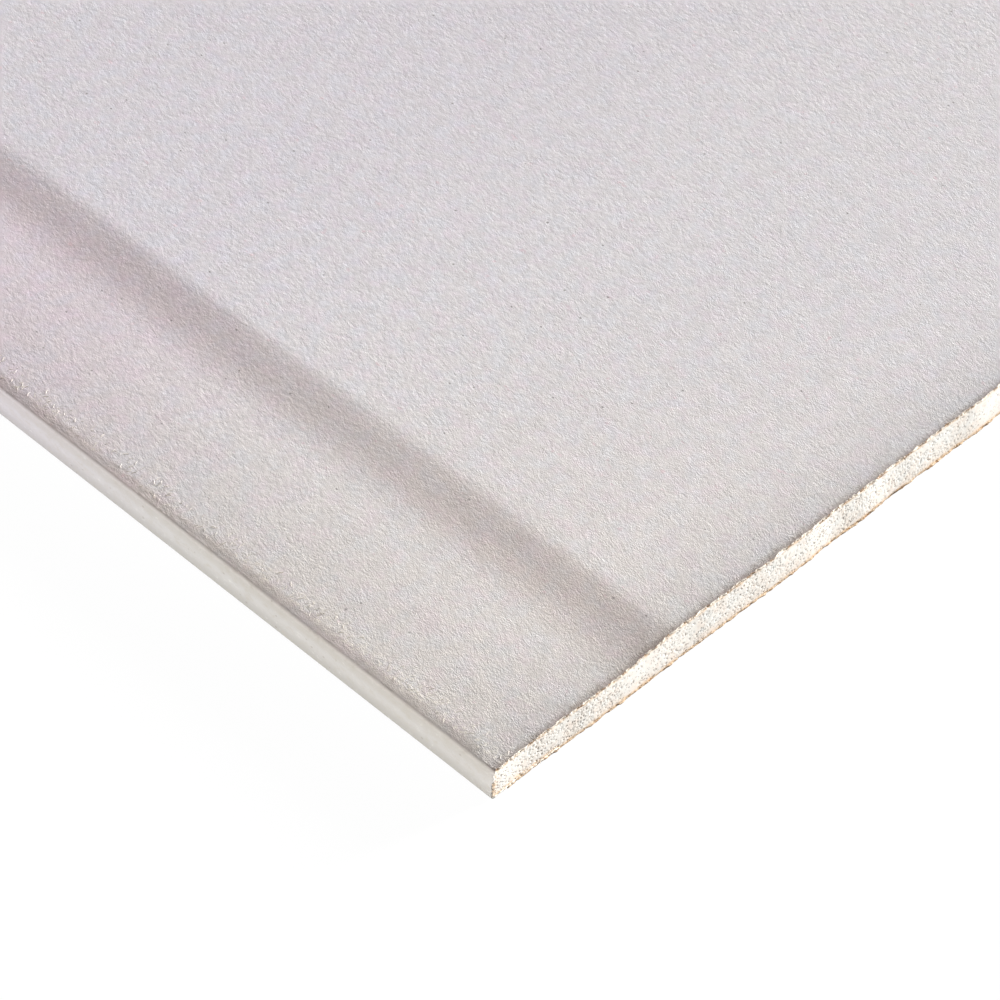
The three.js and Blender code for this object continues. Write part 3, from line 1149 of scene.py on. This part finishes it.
def scatter(name, host, tree, material, slot, **inputs):
    """Runs a scatter tree on a host mesh and keeps the result as a plain mesh piece."""
    thing = bpy.data.objects.new(name, host)
    bpy.context.scene.collection.objects.link(thing)
    modifier = thing.modifiers.new("Scatter", "NODES")
    modifier.node_group = tree
    given = [socket for socket in tree.interface.items_tree if socket.in_out == "INPUT"]
    sockets = {socket.name: socket.identifier for socket in given}
    for label, value in inputs.items():
        modifier[sockets[label.replace("_", " ")]] = value
    modifier[sockets["Material"]] = material
    depsgraph = bpy.context.evaluated_depsgraph_get()
    mesh = bpy.data.meshes.new_from_object(thing.evaluated_get(depsgraph))
    mesh.name = name
    thing.modifiers.clear()
    thing.data = mesh
    bpy.data.meshes.remove(host)
    if not mesh.polygons:
        raise RuntimeError(f"{name}: the scatter made nothing")
    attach(thing, BODY)
    return thing


def strip_mesh(name, strips):
    """A host mesh of quads: each strip is two rows of points of the same count."""
    skin = Skin()
    for first, second in strips:
        skin.bridge(skin.row(first), skin.row(second))
    return skin.mesh(name)


def shoulder_strips():
    """Strips on the taper just inside each shoulder, where the wrapped paper has been scuffed."""
    settings = bpy.context.scene.drywall_fibres
    x = np.linspace(-HALF_LENGTH, HALF_LENGTH, 240)
    side_top = FACE_OUTLINE.along[np.argmax(FACE_OUTLINE.points[:, 1] > FACE_HEIGHT * 0.8)]
    strips = []
    for mirrored in (False, True):
        rows = []
        for distance in (settings.band_start, settings.band_start + settings.band_width):
            place = side_top + distance
            point = FACE_OUTLINE.at([FACE_OUTLINE.length - place if mirrored else place])[0]
            rows.append(np.stack([x, np.full(len(x), point[0]), np.full(len(x), point[1])], axis=1))
        strips.append(rows if mirrored else rows[::-1])
    return strips


def cut_strips(outline):
    """Strips along a paper's cut edge at both ends, from a little inside the cut to a little outside it."""
    strips = []
    y, z = outline.at(np.arange(0, outline.length, 4 * MM)).T
    z = np.maximum(z - 0.12 * MM, 0.3 * MM)
    for end in (PLUS_END, MINUS_END):
        x = end * (HALF_LENGTH + saw_line(end, y))
        rows = [np.stack([x + end * out, y, z], axis=1) for out in (-0.15 * MM, 0.25 * MM)]
        strips.append(rows if end == MINUS_END else rows[::-1])
    return strips


# ---------------------------------------------------------------------------------------------
# Stage: floor, lights, world and camera.


WHITE = (1, 1, 1)
FLOOR_SIDES = 64


def seen_directly(graph):
    """1 for rays from the camera, mirrors and glass, and 0 for the rays that light the object."""
    path = graph.node("ShaderNodeLightPath").outputs
    mirrored = graph.math("MAXIMUM", path["Is Glossy Ray"], path["Is Transmission Ray"])
    return graph.math("MAXIMUM", path["Is Camera Ray"], mirrored)


def floor_material(settings):
    """White floor. The camera sees it lifted towards white, with the sheet's shadow still on it."""
    material = bpy.data.materials.new("Floor")
    material.use_nodes = True
    tree = material.node_tree
    tree.nodes.remove(tree.nodes["Principled BSDF"])
    graph = Graph(tree)
    seen = seen_directly(graph)
    tone = graph.blend(seen, settings.floor_bounce, (0.9, 0.9, 0.9))
    diffuse = graph.node("ShaderNodeBsdfDiffuse", {"Color": tone}).outputs[0]
    glow = graph.node("ShaderNodeEmission", {"Color": WHITE, "Strength": 1.02}).outputs[0]
    share = graph.times(seen, settings.floor_lift)
    mixed = graph.node("ShaderNodeMixShader", {0: share, 1: diffuse, 2: glow}).outputs[0]
    graph.feed(tree.nodes["Material Output"].inputs["Surface"], mixed)
    return material


def build_floor(settings):
    angles = np.linspace(0, 2 * np.pi, FLOOR_SIDES, endpoint=False)
    rim = settings.floor_radius * np.stack([np.cos(angles), np.sin(angles), 0 * angles], axis=1)
    mesh = bpy.data.meshes.new("studio_floor")
    mesh.from_pydata(rim.tolist(), [], [list(range(FLOOR_SIDES))])
    floor = bpy.data.objects.new("studio_floor", mesh)
    mesh.materials.append(floor_material(settings))
    bpy.context.scene.collection.objects.link(floor)


def sun(name, azimuth, elevation, strength, softness, colour, shadow=True):
    """A distant lamp: azimuth is the side that it shines from, turning from +X towards +Y."""
    lamp = bpy.data.lights.new(name, "SUN")
    lamp.use_shadow = shadow
    lamp.energy = strength
    lamp.angle = softness
    lamp.color = colour
    thing = bpy.data.objects.new(name, lamp)
    thing.rotation_euler = Euler((0, math.pi / 2 - elevation, azimuth), "XYZ")
    bpy.context.scene.collection.objects.link(thing)


def build_world(settings):
    world = bpy.data.worlds.new("Studio")
    bpy.context.scene.world = world
    world.use_nodes = True
    graph = Graph(world.node_tree)
    ambient = world.node_tree.nodes["Background"]
    ambient.inputs["Color"].default_value = (*settings.ambient_colour, 1)
    ambient.inputs["Strength"].default_value = settings.ambient
    white = graph.node("ShaderNodeBackground", {"Color": WHITE, "Strength": 1.0}).outputs[0]
    mixed = graph.node("ShaderNodeMixShader", {0: seen_directly(graph), 1: ambient.outputs[0], 2: white})
    graph.feed(world.node_tree.nodes["World Output"].inputs["Surface"], mixed.outputs[0])


def build_camera(settings):
    """A long lens above the +X, -Y corner, aimed at a point on the face a little way in from it."""
    data = bpy.data.cameras.new("Camera")
    data.sensor_width = 36
    data.lens = settings.lens
    data.clip_start = 0.05
    data.clip_end = 200
    aim = Vector((HALF_LENGTH - settings.aim_inset_x, -HALF_WIDTH + settings.aim_inset_y, FACE_HEIGHT))
    flat = math.cos(settings.elevation)
    forward = Vector((
        -math.sin(settings.heading) * flat,
        math.cos(settings.heading) * flat,
        -math.sin(settings.elevation),
    ))
    right = forward.cross(Vector((0, 0, 1))).normalized()
    up = right.cross(forward)
    turned = math.cos(settings.roll) * right + math.sin(settings.roll) * up
    upright = turned.cross(forward)
    place = aim - forward * settings.distance
    camera = bpy.data.objects.new("Camera", data)
    camera.matrix_world = Matrix((
        (turned.x, upright.x, -forward.x, place.x),
        (turned.y, upright.y, -forward.y, place.y),
        (turned.z, upright.z, -forward.z, place.z),
        (0, 0, 0, 1),
    ))
    bpy.context.scene.collection.objects.link(camera)
    bpy.context.scene.camera = camera


# ---------------------------------------------------------------------------------------------
# Settings, operators and panel.


def length(name, description, default):
    return FloatProperty(
        name=name, description=description, default=default, min=0, unit="LENGTH", precision=5
    )


def amount(name, description, default):
    return FloatProperty(name=name, description=description, default=default, min=0)


def angle(name, description, degrees):
    return FloatProperty(name=name, description=description, default=math.radians(degrees), subtype="ANGLE")


def colour(name, description, red, green, blue):
    """A colour written as 0 to 255 screen values."""
    return tint(name, description, *srgb(red, green, blue), highest=1)


def tint(name, description, red, green, blue, highest=1.2):
    """A factor for each of red, green and blue."""
    return FloatVectorProperty(
        name=name, description=description, default=(red, green, blue), min=0, max=highest, size=3,
        subtype="COLOR",
    )


class DrywallPaper(bpy.types.PropertyGroup):
    face_colour: colour("Face", "Main colour of the face paper", 222.4, 218.1, 219.4)
    corner_colour: colour("Face, Corners", "Its colour near the sheet's corners", 225.8, 219.2, 214.6)
    lilac_face: tint("Lilac Tint, Face", "Factor away from the ends, on the flat face", 0.95, 0.94, 0.965)
    lilac_side: tint("Lilac Tint, Side", "The same, on the wrapped side", 1.03, 1.0, 1.09)
    lilac_taper: tint("Lilac Tint, Taper", "The same, on the tapered edges", 0.99, 0.925, 0.958)
    lilac_start: length("Lilac Start", "From each end to where the lilac comes in", 0.108)
    lilac_run: length("Lilac Run", "Distance over which it comes in", 0.118)
    face_rose: tint("Rose Clouds", "Factor that the face drifts towards in patches", 1.04, 0.95, 1.045)
    face_blue: tint("Blue Clouds", "Factor that the face drifts towards elsewhere", 0.95, 1.013, 1.08)
    ramp_slide: length("Ramp Slide", "How far the ramp lies nearer the long edge away from the cut", 1.3 * MM)
    slide_start: length("Slide Start", "From the cut to where the ramp starts to move", 90 * MM)
    ramp_shade_tint: tint("Ramp Shade Tint", "Factor of the shade painted on the taper's ramp", 0.985, 0.944, 0.934)
    shoulder_shade_tint: tint("Shoulder Shade Tint", "Factor of the shade painted inside the shoulder", 0.92, 0.885, 0.86)
    cut_shade_tint: tint("Cut Shade Tint", "Factor of the shade painted on the paper beside the cut", 0.56, 0.51, 0.47)
    near_cut_grey_tint: tint("Near Cut Grey Tint", "Factor that greys the paper near the cut", 0.855, 0.86, 0.865)
    near_cut_grey_width: length("Near Cut Grey Width", "Distance from the cut over which that dies away", 30 * MM)
    side_colour: colour("Wrapped Side", "Colour of the smooth paper half way up", 222.5, 221, 220)
    side_high_shade: colour("Wrapped Side, Top Shade", "Its colour below the shoulder", 215.5, 212.5, 209)
    side_crest_light: colour("Wrapped Side, Crest Light", "Its colour where it turns into the shoulder", 243, 238, 234)
    side_low_shade: colour("Wrapped Side, Bottom Shade", "Its colour near the back", 193, 191.5, 188)
    side_stain: colour("Wrapped Side, Smears", "Colour of the faint smears on the long edges", 208, 203, 194)
    back_colour: colour("Back", "Main colour of the back paper", 143, 122, 98)
    ply_dark: colour("Face Edge, Dark", "Darker plies in the face paper's cut edge", 160, 134, 110)
    ply_light: colour("Face Edge, Light", "Lighter plies in the face paper's cut edge", 238, 212, 182)
    kraft_dark: colour("Back Edge, Dark", "Darker plies in the back paper's cut edge", 146, 108, 72)
    kraft_light: colour("Back Edge, Light", "Lighter plies in the back paper's cut edge", 222, 199, 170)
    felt_depth: length("Felt Depth", "Height of the felt, from its hollows to its crests", 0.18 * MM)
    fine_step: length("Fine Step", "Spacing of points along the cut edges near the +X, -Y corner", 0.38 * MM)
    fine_length: length("Fine Length", "Length of the finely stepped stretch", 300 * MM)
    edge_step: length("Edge Step", "Spacing of points along the rest of the cut edges", 0.85 * MM)
    length_step: length("Length Step", "Spacing of points along the board", 12 * MM)


class DrywallCut(bpy.types.PropertyGroup):
    gypsum_colour: colour("Gypsum", "Main colour of the sawn gypsum", 240, 236, 229)
    gypsum_high: colour("Gypsum, Top", "Colour of the sawn gypsum near the face", 244, 240, 233)
    gypsum_foot: colour("Gypsum, Foot", "Colour of the sawn gypsum against the back paper", 198, 172, 142)
    gypsum_low: colour("Gypsum, Bottom", "Colour of the sawn gypsum near the back", 230, 220, 209)
    rim_colour: colour("Gypsum, Rim", "Colour that the paper leaves round the rim", 236, 203, 164)
    pore_shade_colour: colour("Pore Shade", "Painted shade in the depth of the pores", 148, 141, 133)
    roughness: length("Roughness", "Average depth of the broken surface behind the cut", 0.023 * MM)
    pore_depth: length("Pore Depth", "Depth of the larger air pores", 0.175 * MM)
    fine_grain: length("Fine Grain", "Spacing of points near the +X, -Y corner", 0.27 * MM)
    fine_width: length("Fine Width", "Width of the finely stepped stretch", 235 * MM)
    grain: length("Grain", "Spacing of points over the rest of the ends", 0.95 * MM)
    face_tear: length("Face Tear", "How far the face paper's edge strays from the cut", 0.3 * MM)
    back_tear: length("Back Tear", "How far the back paper's edge strays from the cut", 0.3 * MM)
    burr: length("Burr", "Height of the lip along the face paper's cut", 0.16 * MM)
    burr_width: length("Burr Width", "Distance over which that lip dies away", 0.9 * MM)


class DrywallFibres(bpy.types.PropertyGroup):
    band_start: length("Band Start", "Distance from the side to the scuffed band", 2.8 * MM)
    band_width: length("Band Width", "Width of the scuffed band", 5.5 * MM)
    fibre_length: length("Fibre Length", "Length of a raised fibre", 1.4 * MM)
    fibre_density: amount("Fibre Density", "Fibres for each square metre of a clump", 5.5e5)
    shred_length: length("Shred Length", "Length of a torn shred", 0.55 * MM)
    shred_density: amount("Shred Density", "Shreds for each square metre of a clump", 4.0e6)
    clumping: amount("Clumping", "How much fibres and shreds keep to clumps", 0.7)
    clump_scale: amount("Clump Scale", "Scale of the noise that gives the clumps their places", 260.0)
    seed: IntProperty(name="Seed", description="Seed of every scatter", default=5, min=0)


class DrywallStage(bpy.types.PropertyGroup):
    lens: FloatProperty(
        name="Lens", description="Focal length on a 36 mm sensor", default=135, min=1, unit="CAMERA"
    )
    distance: length("Distance", "Camera to the point that it is aimed at", 1.0307)
    heading: angle("Heading", "Direction of view, turned from +Y towards -X", 45.96)
    elevation: angle("Elevation", "How steeply the camera looks down", 45.615)
    roll: angle("Roll", "Turn of the camera about its line of view", -0.53)
    aim_inset_x: length("Aim Inset X", "From the cut end to the aimed point", 0.0675)
    aim_inset_y: length("Aim Inset Y", "From the long edge to the aimed point", 0.0695)
    key_azimuth: angle("Key Azimuth", "Side that the low key light shines from", 77)
    key_elevation: angle("Key Elevation", "Height of the key light above the floor", 10.5)
    key_strength: amount("Key Strength", "Strength of the key light", 11.4)
    key_softness: angle("Key Softness", "Angular size of the key light", 14)
    edge_azimuth: angle("Edge Fill Azimuth", "Side that the long edge is lit from", -97)
    edge_strength: amount("Edge Fill Strength", "Strength of the light on the long edge", 3.55)
    end_azimuth: angle("End Fill Azimuth", "Side that the cut end is lit from", 8)
    end_strength: amount("End Fill Strength", "Strength of the light on the cut end", 0.4)
    far_elevation: angle("Far Fill Elevation", "Height of the light on the far end above the floor", 2)
    far_strength: amount("Far Fill Strength", "Strength of the light on the far end", 1.8)
    far_softness: angle("Far Fill Softness", "Angular size of the light on the far end", 4)
    fill_elevation: angle("Fill Elevation", "Height of both fill lights above the floor", 5)
    fill_softness: angle("Fill Softness", "Angular size of both fill lights", 30)
    ambient: amount("Ambient", "Strength of the light from all round", 0.12)
    ambient_colour: colour("Ambient Colour", "Colour of the light from all round", 255, 252, 248)
    floor_lift: FloatProperty(
        name="Floor Lift", description="Share of plain white in the floor that the camera sees", default=0.96,
        min=0, max=1, subtype="FACTOR",
    )
    floor_bounce: colour("Floor Bounce", "Colour of the light that the floor throws back", 160, 158, 156)
    floor_radius: length("Floor Radius", "Radius of the round floor", 60)


class DRYWALL_OT_gypsum_core(bpy.types.Operator):
    """Builds the gypsum core with its rough sawn ends"""

    bl_idname = "drywall.gypsum_core"
    bl_label = "Gypsum Core"

    def execute(self, context):
        gypsum = material_named("Gypsum", gypsum_material)
        piece("gypsum_core_finish", build_gypsum_core(), "gypsum", gypsum, replaces="gypsum_core")
        return {"FINISHED"}


class DRYWALL_OT_face_paper(bpy.types.Operator):
    """Builds the face paper, wrapped round both long edges and torn at both ends"""

    bl_idname = "drywall.face_paper"
    bl_label = "Face Paper"

    def execute(self, context):
        paper = material_named("Face Paper", face_paper_material)
        torn = material_named("Face Paper Edge", face_edge_material)
        piece("face_paper_finish", build_face_paper(), "face_paper", paper, torn, replaces="face_paper")
        return {"FINISHED"}


class DRYWALL_OT_back_paper(bpy.types.Operator):
    """Builds the back paper, torn at both ends"""

    bl_idname = "drywall.back_paper"
    bl_label = "Back Paper"

    def execute(self, context):
        paper = material_named("Back Paper", back_paper_material)
        torn = material_named("Back Paper Edge", back_edge_material)
        piece("back_paper_finish", build_back_paper(), "back_paper", paper, torn, replaces="back_paper")
        return {"FINISHED"}


class DRYWALL_OT_fibres(bpy.types.Operator):
    """Scatters raised fibres along the inside of both shoulders"""

    bl_idname = "drywall.fibres"
    bl_label = "Raised Fibres"

    def execute(self, context):
        settings = context.scene.drywall_fibres
        fibre = material_named("Loose Fibre", fibre_material)
        tree = scatter_tree("Fibre Scatter", fibre_shape)
        scatter(
            "shoulder_fibres", strip_mesh("fibre_host", shoulder_strips()), tree, fibre, "face_paper",
            Density=settings.fibre_density, Clumping=settings.clumping, Clump_Scale=settings.clump_scale,
            Length=settings.fibre_length, Thickness=0.046, Heading=math.pi / 2, Spread=1.0, Pitch=0.15,
            Seed=settings.seed,
        )
        return {"FINISHED"}


class DRYWALL_OT_shreds(bpy.types.Operator):
    """Scatters torn shreds of paper along the cut edges"""

    bl_idname = "drywall.shreds"
    bl_label = "Torn Shreds"

    def execute(self, context):
        settings = context.scene.drywall_fibres
        torn = material_named("Face Paper Edge", face_edge_material)
        tree = scatter_tree("Shred Scatter", shred_shape)
        scatter(
            "face_shreds", strip_mesh("shred_host", cut_strips(FACE_OUTLINE)), tree, torn, "face_paper",
            Density=settings.shred_density, Clumping=settings.clumping, Clump_Scale=settings.clump_scale,
            Length=settings.shred_length, Thickness=0.35, Heading=math.pi / 2, Spread=1.4, Pitch=0.5,
            Seed=settings.seed + 10,
        )
        return {"FINISHED"}


class DRYWALL_OT_stage(bpy.types.Operator):
    """Sets the floor, the lights, the world and the camera"""

    bl_idname = "drywall.stage"
    bl_label = "Stage"

    def execute(self, context):
        settings = context.scene.drywall_stage
        context.scene.view_settings.view_transform = "Standard"
        build_floor(settings)
        build_world(settings)
        build_camera(settings)
        sun("Key", settings.key_azimuth, settings.key_elevation, settings.key_strength,
            settings.key_softness, (1.0, 1.0, 1.0))
        sun("Edge Fill", settings.edge_azimuth, settings.fill_elevation, settings.edge_strength,
            settings.fill_softness, (1.0, 0.98, 0.955))
        sun("End Fill", settings.end_azimuth, settings.fill_elevation, settings.end_strength,
            settings.fill_softness, (1.0, 0.99, 0.975))
        sun("Far End Fill", math.pi, settings.far_elevation, settings.far_strength,
            settings.far_softness, (1.0, 1.0, 1.0), shadow=False)
        return {"FINISHED"}


class DRYWALL_PT_panel(bpy.types.Panel):
    """Lists the sheet's pieces in the order that they are built"""

    bl_label = "Drywall Sheet"
    bl_idname = "DRYWALL_PT_panel"
    bl_space_type = "VIEW_3D"
    bl_region_type = "UI"
    bl_category = "Drywall"

    def draw(self, context):
        for settings in (context.scene.drywall_paper, context.scene.drywall_cut,
                         context.scene.drywall_fibres, context.scene.drywall_stage):
            box = self.layout.box()
            for name in settings.__annotations__:
                box.prop(settings, name)
        for operator in OPERATORS:
            self.layout.operator(operator.bl_idname)


SETTINGS = (
    ("drywall_paper", DrywallPaper),
    ("drywall_cut", DrywallCut),
    ("drywall_fibres", DrywallFibres),
    ("drywall_stage", DrywallStage),
)
OPERATORS = (
    DRYWALL_OT_stage,
    DRYWALL_OT_gypsum_core,
    DRYWALL_OT_face_paper,
    DRYWALL_OT_back_paper,
    DRYWALL_OT_fibres,
    DRYWALL_OT_shreds,
)


def register():
    for name, group in SETTINGS:
        bpy.utils.register_class(group)
        setattr(bpy.types.Scene, name, PointerProperty(type=group))
    for operator in OPERATORS:
        bpy.utils.register_class(operator)
    bpy.utils.register_class(DRYWALL_PT_panel)


def unregister():
    bpy.utils.unregister_class(DRYWALL_PT_panel)
    for operator in reversed(OPERATORS):
        bpy.utils.unregister_class(operator)
    for name, group in reversed(SETTINGS):
        delattr(bpy.types.Scene, name)
        bpy.utils.unregister_class(group)


def main():
    register()
    bpy.ops.drywall.stage()
    bpy.ops.drywall.gypsum_core()
    bpy.ops.drywall.face_paper()
    bpy.ops.drywall.back_paper()
    bpy.ops.drywall.fibres()
    bpy.ops.drywall.shreds()


if __name__ == "__main__":
    main()
